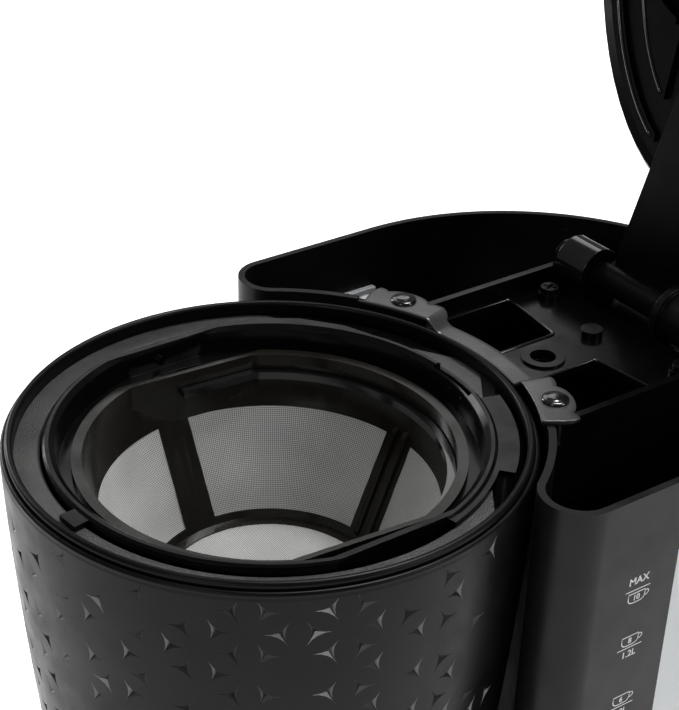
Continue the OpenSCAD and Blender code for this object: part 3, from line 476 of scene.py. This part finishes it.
def drum_profile():
    """The rim, the inner wall and the floor, from the top of the outer wall to its foot."""
    hole, floor = 30, DRUM_WALL - DRUM_H
    rim = [(drum_side(-DRUM_TOP), DRUM_TOP), (DRUM_R - 0.02, -4.2)]
    rim += arc_points(75.6, -3.0, 0.95, -30, 150, 8) + [(74.95, -2.25)]
    rim += arc_points(74.0, -1.15, 1.15, -10, 180, 10) + [(72.9, -4)]
    wall = [(drum_side(d) - DRUM_WALL, -d) for d in (9, 20, 40, 60, 80, DRUM_H - DRUM_WALL - 3)]
    foot = [(DRUM_FOOT_R - DRUM_WALL - 3, floor), (hole, floor), (hole, -DRUM_H),
            (DRUM_FOOT_R - 0.6, -DRUM_H), (drum_side(DRUM_H), -DRUM_H + 0.01)]
    return rim + wall + foot


def contains(poly, p):
    """Whether the point lies inside the outline."""
    hit = False
    for i in range(len(poly)):
        a, b = poly[i], poly[i - 1]
        if (a.y > p.y) != (b.y > p.y) and p.x < (b.x - a.x) * (p.y - a.y) / (b.y - a.y) + a.x:
            hit = not hit
    return hit


def key_of(p):
    return round(p.x, 4), round(p.y, 4)


def build_drum():
    """The dimpled outer wall, and the rim with the inner wall and the floor."""
    pts, edges, stars = drum_plan()
    flat, _, cells, _, _, _ = delaunay_2d_cdt(pts, edges, [], 0, 1e-5)
    index = {key_of(v): i for i, v in enumerate(flat)}
    touching = {}       # the dimples that each point belongs to
    for s, (first, n, _) in enumerate(stars):
        for p in pts[first:first + n]:
            touching.setdefault(index.get(key_of(p)), set()).add(s)
    verts = [drum_point(v.x, v.y) for v in flat]
    faces, normals = [], []

    def add(face, nrm):
        a, b, c = (verts[i] for i in face[:3])
        if (b - a).cross(c - a).dot(nrm[0]) < 0:
            face, nrm = face[::-1], nrm[::-1]
        faces.append(tuple(face))
        normals.extend(nrm)

    for cell in cells:
        shared = set.intersection(*[touching.get(i, set()) for i in cell])
        centre = sum((flat[i] for i in cell), Vector((0, 0))) / len(cell)
        if any(contains(pts[stars[s][0]:stars[s][0] + stars[s][1]], centre) for s in shared):
            continue
        add(list(cell), [drum_normal(flat[i].x, flat[i].y) for i in cell])
    facets_from = len(faces)
    for first, n, mid in stars:
        ring = pts[first:first + n]
        verts.append(drum_point(mid.x, mid.y, DEPTH))
        deepest = len(verts) - 1
        ids = [index[key_of(p)] for p in ring]
        out = drum_normal(mid.x, mid.y)
        # three facets, each between two tips: find the tips by their distance from the middle
        far = [(p - mid).length for p in ring]
        tips = sorted(sorted(range(n), key=lambda k: -far[k])[:3])
        for t in range(3):
            k0, k1 = tips[t], tips[(t + 1) % 3]
            run = [(k0 + j) % n for j in range(((k1 - k0) % n) + 1)]
            tris = [[deepest, ids[a], ids[b]] for a, b in zip(run, run[1:])]
            total = Vector((0, 0, 0))
            for tri in tris:
                a, b, c = (verts[i] for i in tri)
                nn = (b - a).cross(c - a)
                total += nn if nn.dot(out) > 0 else -nn
            total.normalize()
            for tri in tris:
                add(tri, [total, total, total])

    ob = piece("drum_wall", verts, faces, LOOK["drum"], "housing", hides=("drum_shell",))
    # the dimple facets take the lighter, shinier copy of the drum's black: painted highlight
    ob.data.materials.append(LOOK["dimple"])
    for p in ob.data.polygons[facets_from:]:
        p.material_index = 1
    ob.data.normals_split_custom_set([tuple(x) for x in normals])
    verts, faces = revolved(drum_profile(), 240)
    outward(piece("drum_rim", verts, faces, LOOK["drum"], "housing"))


build_drum()

# ---------------------------------------------------------------- liner, holder and filter


def paint(ob, mat, wanted):
    """Gives a second material to the faces that pass the test on (centre about the axis, normal)."""
    me = ob.data
    me.materials.append(mat)
    slot = len(me.materials) - 1
    for p in me.polygons:
        c = p.center / MM
        if wanted(Vector((c.x, c.y - AXIS_Y, c.z - RIM)), p.normal):
            p.material_index = slot


liner = refined("drum_liner", LOOK["gloss"], 0.25)
paint(liner, LOOK["ledge"], lambda c, n: n.z > 0.6 and c.z > -8)
refined("filter_holder", LOOK["gloss"], 0.4, 2)
refined("filter_frame", LOOK["brown"], 0.3, 2)
refined("filter_bail", LOOK["cap"], 0.75, 3)


FILTER_Z = -8.4                 # top of the permanent filter's rim
FILTER_H = 51.0                 # its height
FILTER_LIP = 7.5                # height of its upright rim
FILTER_R, FILTER_FOOT_R = 55.6, 36.5


def filter_side(d):
    """Outer radius of the filter at a depth under its rim."""
    if d < FILTER_LIP:
        return FILTER_R
    return FILTER_FOOT_R + (FILTER_R - FILTER_FOOT_R) * (FILTER_H - d) / (FILTER_H - FILTER_LIP)


def build_cloth():
    """Cloth moulded into the middle of the frame's wall; its UV map is in millimetres."""
    top_d, foot_d, sunk = 14.0, FILTER_H - 1.2, 1.15
    floor_z = FILTER_Z - FILTER_H + 1.1
    floor_r = FILTER_FOOT_R - 1.2
    rows = [(0.5, floor_z + 0.25), (floor_r * 0.35, floor_z + 0.1), (floor_r * 0.7, floor_z + 0.05),
            (floor_r - 2.0, floor_z), (floor_r, floor_z + 0.2)]
    floor_rows, steps = 4, 10
    for k in range(1, steps + 1):
        d = foot_d + (top_d - foot_d) * k / steps
        rows.append((filter_side(d) - sunk, FILTER_Z - d))
    n, m, mean_r = 180, len(rows), 45.0
    verts, uvs = [], []
    run = [0.0]
    for a, b in zip(rows, rows[1:]):
        run.append(run[-1] + math.hypot(b[0] - a[0], b[1] - a[1]))
    for i in range(n + 1):
        a = TAU * i / n
        for k, (r, z) in enumerate(rows):
            ripple = 0.10 * abs(math.sin(a * 9 + k * 0.7)) if 5 < k < m - 1 else 0
            verts.append(at((r - ripple) * math.cos(a), (r - ripple) * math.sin(a), z))
            uvs.append((r * math.cos(a), r * math.sin(a)) if k < floor_rows else (a * mean_r, run[k]))
    faces = ring_faces(0, n + 1, m, closed=False)
    ob = piece("mesh_cloth", verts, faces, LOOK["cloth"], "filter", hides=("filter_mesh",))
    layer = ob.data.uv_layers.new(name="UVMap")
    for loop in ob.data.loops:
        layer.data[loop.index].uv = uvs[loop.vertex_index]
    solid = ob.modifiers.new("thick", "SOLIDIFY")
    solid.thickness = 0.25 * MM
    solid.offset = 0


build_cloth()


def build_rib_bars():
    """Two raised bars along the middle of each rib that lies across the holder's flats."""
    verts, faces = [], []
    for angle in (94.25, 274.25):
        a = math.radians(angle)
        out, across = Vector((math.cos(a), math.sin(a))), Vector((-math.sin(a), math.cos(a)))
        for off in (-2.3, 2.3):
            base = len(verts)
            for d, high in ((13.5, 0.0), (15.0, 1.3), (46.5, 1.3), (48.5, 0.0)):
                r = filter_side(d) - 1.6
                for w, h in ((-1.3, 0.3), (-0.9, -high), (0.9, -high), (1.3, 0.3)):
                    p = out * (r + h) + across * (off + w)
                    verts.append(at(p.x, p.y, FILTER_Z - d))
            faces += ring_faces(base, 4, 4) + end_faces(base, 4, 4)
    ob = outward(piece("rib_bars", verts, faces, LOOK["brown"], "filter"))
    soften(ob, 0.35, 2, 25)


build_rib_bars()

# ---------------------------------------------------------------- strap


STRAP_IN, STRAP_OUT = 77.05, 84.0
RIVET_R, RIVET_ANGLE = 83.2, 26.0
LOBES = ((18.4, 2.4, 2.9), (RIVET_ANGLE, 4.4, 4.9), (32.6, 1.9, 4.4))   # angle, half width, height


def smooth_step(a, b, x):
    """Rises smoothly from 0 at a to 1 at b."""
    t = min(max((x - a) / (b - a), 0.0), 1.0)
    return t * t * (3 - 2 * t)


def strap_outer(a):
    """Outer radius of the strap at an angle from its middle."""
    r = STRAP_OUT
    for centre, half, top in LOBES:
        d = abs(abs(a) - centre) / (half * 1.25)
        if d < 1:
            r = max(r, STRAP_OUT + top * math.sqrt(1 - d ** 2) ** 0.8)
    return r


def build_strap():
    """The stamped plate round the drum's back: low in the middle, raised at both ends."""
    span, steps = 34.0, 170
    high, drop = 1.4, 3.6
    tip, least = 1.2, 1.2       # the angle over which an end rounds off, and the width that it keeps
    lo, t, c = STRAP_IN, 1.2, 0.32
    rings = []
    for i in range(steps + 1):
        a = -span + 2 * span * i / steps
        z = high - drop * (1 - smooth_step(13.2, 17.6, abs(a)))
        hi = strap_outer(a)
        if abs(a) > span - tip:
            pinch = 1 - (abs(a) - span + tip) / tip
            hi = lo + least + (hi - lo - least) * (0.6 + 0.4 * math.sqrt(max(pinch, 0.0)))
        section = [(lo, z - t + c), (lo, z - c), (lo + c * 0.3, z - c * 0.3), (lo + c, z), (lo + 1.5, z),
                   ((lo + hi) / 2, z + 0.05), (hi - 1.5, z), (hi - c, z), (hi - c * 0.3, z - c * 0.3),
                   (hi, z - c), (hi, z - t + c), (hi - c, z - t), ((lo + hi) / 2, z - t), (lo + c, z - t)]
        th = math.radians(90 + a)
        rings.append([at(r * math.cos(th), r * math.sin(th), zz) for r, zz in section])
    m = len(rings[0])
    verts = [p for r in rings for p in r]
    faces = ring_faces(0, steps + 1, m) + end_faces(0, steps + 1, m)
    outward(piece("strap_plate", verts, faces, LOOK["strap"], "housing", hides=("strap_bracket",)))


def build_rivets():
    """Two polished heads, each on a short shank."""
    profile = [(2.0, -3.4), (2.0, 1.35), (4.0, 1.42), (4.15, 1.7), (4.0, 2.1), (3.5, 2.45), (3.2, 2.4),
               (2.6, 2.72), (1.4, 2.8), (0.01, 2.82)]
    n = 40
    verts, faces = [], []
    for s in (-1, 1):
        a = math.radians(90 + s * RIVET_ANGLE)
        cx, cy = RIVET_R * math.cos(a), RIVET_R * math.sin(a)
        base = len(verts)
        for i in range(n):
            t = TAU * i / n
            verts += [at(cx + r * math.cos(t), cy + r * math.sin(t), z) for r, z in profile]
        faces += ring_faces(base, n, len(profile), joined=True, closed=False)
    outward(piece("rivet_heads", verts, faces, LOOK["cap"], "housing", hides=("strap_rivets",)))


build_strap()
build_rivets()

# ---------------------------------------------------------------- tank, bridge and hinge

refined("tank_shell", LOOK["tank"], 0.6, 3)
refined("bridge_frame", LOOK["gloss"], 0.45, 2)
refined("bridge_screws", LOOK["satin"], 0.2)
refined("hinge_saddle", LOOK["cap"], 0.8, 3)
refined("hinge_knuckle", LOOK["satin"], 0.6, 3)
refined("hinge_pin", LOOK["steel"], 0.3)
refined("level_window_right", LOOK["level"], 0.3)
refined("level_window_left", LOOK["level"], 0.3)
refined("riser_tube", LOOK["satin"], 0.3)
refined("riser_seal", LOOK["rubber"], 0.3)
refined("tank_outlet", LOOK["ivory"], 0.3)
refined("check_valve", LOOK["ivory"], 0.3)


def build_window_lips():
    """Thin rounded lip round each window of the bridge."""
    corners = [(10.0, 88.6), (36.0, 88.6), (36.0, 119.0), (10.0, 116.0)]
    section = [(0.15, -0.5), (0.15, 0.2), (-0.1, 0.5), (-0.5, 0.6), (-0.9, 0.45), (-1.1, 0.1), (-1.1, -0.5)]
    plate_z, corner_r = -11.0, 1.6
    verts, faces = [], []
    for s in (-1, 1):
        loop = []
        for i, (x, y) in enumerate(corners):
            px, py = corners[i - 1]
            nx, ny = corners[(i + 1) % 4]
            a = Vector((px - x, py - y)).normalized() * corner_r
            b = Vector((nx - x, ny - y)).normalized() * corner_r
            for t in (0.0, 0.33, 0.67, 1.0):
                u = 1 - t
                loop.append(Vector((x + u * u * a.x + t * t * b.x, y + u * u * a.y + t * t * b.y)))
        mid = sum(loop, Vector((0, 0))) / len(loop)
        base = len(verts)
        for p in loop:
            inward = (mid - p).normalized()
            for w, h in section:
                verts.append(at(s * (p.x + inward.x * w), p.y + inward.y * w, plate_z + h))
        faces += ring_faces(base, len(loop), len(section), joined=True)
    outward(piece("window_lips", verts, faces, LOOK["cap"], "housing"))


build_window_lips()


WALL_X = 86.5           # the outside of the tank's right-hand wall


def flat_text(name, text, height, y, z):
    """Printed words on the tank's right-hand wall."""
    curve = bpy.data.curves.new(name, "FONT")
    curve.body = text
    curve.align_x = "CENTER"
    curve.size = height * MM / 0.72
    curve.extrude = 0.03 * MM
    curve.offset = 0.05 * MM
    temp = bpy.data.objects.new(name + "_curve", curve)
    bpy.context.scene.collection.objects.link(temp)
    me = bpy.data.meshes.new_from_object(temp)
    bpy.data.objects.remove(temp)
    for v in me.vertices:
        x, h, t = v.co
        v.co = at(WALL_X + 0.03, y, z) + Vector((t, x, h))
    return me


def strip(points, width, closed=False):
    """Vertices and faces of a printed line through (y, z) points on the right-hand wall."""
    n = len(points)
    verts = []
    for i, p in enumerate(points):
        a = points[i - 1] if closed or i else p
        b = points[(i + 1) % n] if closed or i < n - 1 else p
        d = Vector((b[0] - a[0], b[1] - a[1])).normalized()
        nrm = Vector((-d.y, d.x)) * width / 2
        for s in (-1, 1):
            verts.append(at(WALL_X + 0.06, p[0] + s * nrm.x, p[1] + s * nrm.y))
    return verts, ring_faces(0, n, 2, joined=closed, closed=False)


def build_marks():
    """The printed level marks: a word at the top, then cups, lines and amounts."""
    bm = bmesh.new()

    def take(me):
        bm.from_mesh(me)
        bpy.data.meshes.remove(me)

    def lines(vf):
        me = bpy.data.meshes.new("line")
        me.from_pydata([tuple(v) for v in vf[0]], [], vf[1])
        take(me)

    def cup(y, z, label):
        body = [(-3.3, 1.6), (-3.3, -0.2), (-3.0, -1.0), (-2.4, -1.5), (-1.4, -1.7), (1.0, -1.7), (2.0, -1.5),
                (2.6, -1.0), (2.9, -0.2), (2.9, 1.6)]
        lines(strip([(y + a, z + b) for a, b in body], 0.36, True))
        handle = [(2.9, 1.1), (3.9, 1.1), (4.3, 0.7), (4.2, 0.0), (3.6, -0.5), (2.7, -0.6)]
        lines(strip([(y + a, z + b) for a, b in handle], 0.34))
        take(flat_text("cup" + label, label, 1.9, y - 0.2, z - 0.95))

    y = 65.0
    take(flat_text("max", "MAX", 2.5, y, -28.6))
    lines(strip([(y - 4.6, -30.7), (y + 4.6, -30.7)], 0.34))
    cup(y, -33.4, "10")
    levels = ((-51.5, "8", "1.2L"), (-73.5, "6", "0.9L"), (-94.5, "4", "0.6L"), (-115.5, "2", "0.3L"))
    for z, label, amount in levels:
        cup(y, z + 2.6, label)
        lines(strip([(y - 4.6, z), (y + 4.6, z)], 0.34))
        take(flat_text("amount" + label, amount, 2.3, y, z - 3.4))
    me = bpy.data.meshes.new("level_marks")
    bm.to_mesh(me)
    bm.free()
    me.materials.append(LOOK["ink"])
    ob = bpy.data.objects.new("level_marks", me)
    bpy.context.scene.collection.objects.link(ob)
    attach(ob, "housing")


build_marks()

# ---------------------------------------------------------------- lid

refined("lid_outer", LOOK["satin"], 0.0)
# the lid's inside and its arm take darker, duller copies of the black plastic: painted shade
refined("lid_inner", LOOK["lid_painted_shade"], 0.5, 2)
refined("lid_arm", LOOK["arm_painted_shade"], 0.4, 2)
refined("spray_head", LOOK["satin"], 0.2)


LID_R, LID_BACK = 76.0, 120.0   # reach of the lid's plan to the front and sides, and to the back
HINGE_Y, HINGE_Z = 147.0, -3.0
LID_OPEN = math.radians(-100)


def build_lid_beads():
    """Two thin polished beads inside the lid, beside the panel's edge and its raised middle."""
    verts, faces = [], []
    sides, n, r = 8, 40, 0.62
    notch = 23.5                # half the width of the arm's notch
    for inset, high in ((12.6, 4.9), (24.2, 4.5)):
        free = math.degrees(math.acos(notch / (LID_R - inset)))
        parts = ((180 - free, 179.9, LID_BACK), (0.1, free, LID_BACK), (180.1, 359.9, LID_R))
        for start, end, reach in parts:
            base = len(verts)
            for i in range(n + 1):
                a = math.radians(start + (end - start) * i / n)
                x, y = (LID_R - inset) * math.cos(a), (reach - inset) * math.sin(a)
                for k in range(sides):
                    t = TAU * k / sides
                    wide = r * math.cos(t)
                    dy = y + math.sin(a) * wide - HINGE_Y
                    dz = high + r * math.sin(t) - HINGE_Z
                    verts.append(at(x + math.cos(a) * wide,
                                    HINGE_Y + dy * math.cos(LID_OPEN) - dz * math.sin(LID_OPEN),
                                    HINGE_Z + dy * math.sin(LID_OPEN) + dz * math.cos(LID_OPEN)))
            faces += ring_faces(base, n + 1, sides) + end_faces(base, n + 1, sides)
    outward(piece("lid_beads", verts, faces, LOOK["cap"], "lid"))


build_lid_beads()

# ---------------------------------------------------------------- base, heater and jug

for node, mat, width in (
    ("base_shell", "base", 0.8), ("bottom_plate", "base", 0.3), ("bottom_screws", "steel", 0.15),
    ("rubber_feet", "rubber", 0.4), ("hotplate", "plate", 0.3), ("hotplate_gasket", "rubber", 0.3),
    ("heating_element", "cast", 0.0), ("thermostat", "ivory", 0.2), ("thermal_fuses", "sleeve", 0.1),
    ("element_clamp", "steel", 0.15), ("switch_housing", "satin", 0.4), ("rocker_switch", "gloss", 0.4),
    ("cord_gland", "rubber", 0.4), ("terminal_block", "ivory", 0.3), ("inlet_hose", "silicone", 0.0),
    ("outlet_hose", "silicone", 0.0), ("liner_screws", "steel", 0.15), ("drip_valve", "ivory", 0.3),
    ("drip_seal", "red", 0.3), ("carafe_band", "band", 0.2),
    ("carafe_handle", "satin", 1.6), ("band_screw", "steel", 0.2), ("carafe_lid", "satin", 0.5),
):
    refined(node, LOOK[mat], width, 3 if width > 0.7 else 2)


def build_jug():
    """Blown glass: the CAD profile with a rounded foot, shoulder and lip."""
    foot, neck, foot_r, most, wall, steps = 35.7 - RIM, 168.0 - RIM, 57, 72.0, 2, 32
    h = neck - 10 - foot

    def side(t):
        return foot_r + (most - foot_r) * math.sin(math.pi * t ** 0.75) - 4 * t

    outer = [(0.05, foot + 1.0), (48, foot + 1.0), (50.5, foot + 0.8), (52.5, foot + 0.1),
             (54.5, foot + 0.05), (56.4, foot + 0.9)]
    outer += [(side(i / steps), foot + 3 + (h - 3) * i / steps) for i in range(1, steps + 1)]
    outer += [(53, neck - 8), (53, neck - 2), (53.1, neck + 1), (53.8, neck + 3.4), (54.8, neck + 5.2),
              (54.9, neck + 5.9)]
    inner = [(54.2, neck + 6.0), (53.2, neck + 5.6), (52.0, neck + 3.2), (51.1, neck + 1), (51, neck - 2),
             (51, neck - 8)]
    inner += [(side(i / steps) - wall, foot + 4 + (h - 4) * i / steps) for i in range(steps, 0, -1)]
    inner += [(53, foot + 4.6), (50, foot + 3.2), (0.05, foot + 3.0)]
    verts, faces = revolved(outer + inner, 128)
    outward(piece("jug", verts, faces, LOOK["glass"], "carafe", hides=("carafe_glass",)))


build_jug()


def build_spring():
    """Coil round the drip stop's stem. The CAD's sleeve is 20.8 mm long at rest and 16.8 mm when pressed."""
    turns, n, sides, r, wire = 7, 24, 8, 3.7, 0.45
    z0, z1 = 193.1 + wire - RIM, 213.9 - wire - RIM
    rings = turns * n + 1
    verts = []
    for i in range(rings):
        t = i / (rings - 1)
        a = TAU * turns * t
        c = at(r * math.cos(a), r * math.sin(a), z0 + (z1 - z0) * t)
        out, up = Vector((math.cos(a), math.sin(a), 0)), Vector((0, 0, 1))
        for k in range(sides):
            b = TAU * k / sides
            verts.append(c + (out * math.cos(b) + up * math.sin(b)) * wire * MM)
    faces = ring_faces(0, rings, sides) + end_faces(0, rings, sides)
    ob = outward(piece("drip_coil", verts, faces, LOOK["steel"], "drip_stop", hides=("drip_spring",)))
    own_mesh(ob)


build_spring()

# ---------------------------------------------------------------- stage, light and camera


def build_stage():
    """A white floor that glows a little, so that it shows as plain white."""
    half = 6.0
    me = bpy.data.meshes.new("floor")
    corners = [(-half, -half, 0), (half, -half, 0), (half, half, 0), (-half, half, 0)]
    me.from_pydata(corners, [], [(0, 1, 2, 3)])
    mat, _, bsdf = new_material("floor_white")
    bsdf.inputs["Base Color"].default_value = (0.93, 0.93, 0.93, 1)
    bsdf.inputs["Roughness"].default_value = 0.9
    bsdf.inputs["Specular IOR Level"].default_value = 0.1
    bsdf.inputs["Emission Color"].default_value = (1, 1, 1, 1)
    bsdf.inputs["Emission Strength"].default_value = 0.75
    me.materials.append(mat)
    ob = bpy.data.objects.new("floor", me)
    bpy.context.scene.collection.objects.link(ob)


def area_light(name, place, target, size, power):
    data = bpy.data.lights.new(name, "AREA")
    data.shape = "RECTANGLE"
    data.size, data.size_y = size
    data.energy = power
    ob = bpy.data.objects.new(name, data)
    bpy.context.scene.collection.objects.link(ob)
    ob.location = place
    ob.rotation_euler = (Vector(target) - Vector(place)).to_track_quat("-Z", "Y").to_euler()


build_stage()
area_light("key", (-0.25, 0.75, 2.2), (0, 0, 0.25), (0.8, 0.6), 38)
area_light("side", (-1.9, -0.3, 1.0), (0, 0, 0.25), (0.4, 1.2), 12)
area_light("right", (1.7, 1.0, 1.4), (0, 0, 0.25), (0.4, 0.9), 12)
area_light("front", (0.9, -1.7, 1.3), (0, 0, 0.2), (0.6, 0.4), 6)
area_light("glance", (-1.55, 1.0, 1.5), (0, 0, 0.3), (0.9, 0.6), 2.5)

world = bpy.data.worlds.new("studio")
bpy.context.scene.world = world
world.use_nodes = True
world.node_tree.nodes["Background"].inputs["Color"].default_value = (1, 1, 1, 1)
world.node_tree.nodes["Background"].inputs["Strength"].default_value = 0.115
bpy.context.scene.view_settings.view_transform = "Standard"


def build_camera():
    """The photo's camera: its direction, its place from the middle of the drum's rim, its lens and shift."""
    az, el = math.radians(57.0), math.radians(33.03)
    aside, above, away = -0.512, -7.714, 478.2      # millimetres
    right = Vector((math.cos(az), math.sin(az), 0))
    look = Vector((-math.sin(az) * math.cos(el), math.cos(az) * math.cos(el), -math.sin(el)))
    up = right.cross(look)
    data = bpy.data.cameras.new("camera")
    ob = bpy.data.objects.new("camera", data)
    bpy.context.scene.collection.objects.link(ob)
    ob.location = at(0, 0, 0) + (right * aside + up * above - look * away) * MM
    ob.rotation_euler = look.to_track_quat("-Z", "Y").to_euler()
    data.sensor_width = 36
    data.lens = 85.1831
    data.shift_x, data.shift_y = 0.100704, 0.133803
    data.clip_start, data.clip_end = 0.02, 60
    bpy.context.scene.camera = ob


build_camera()
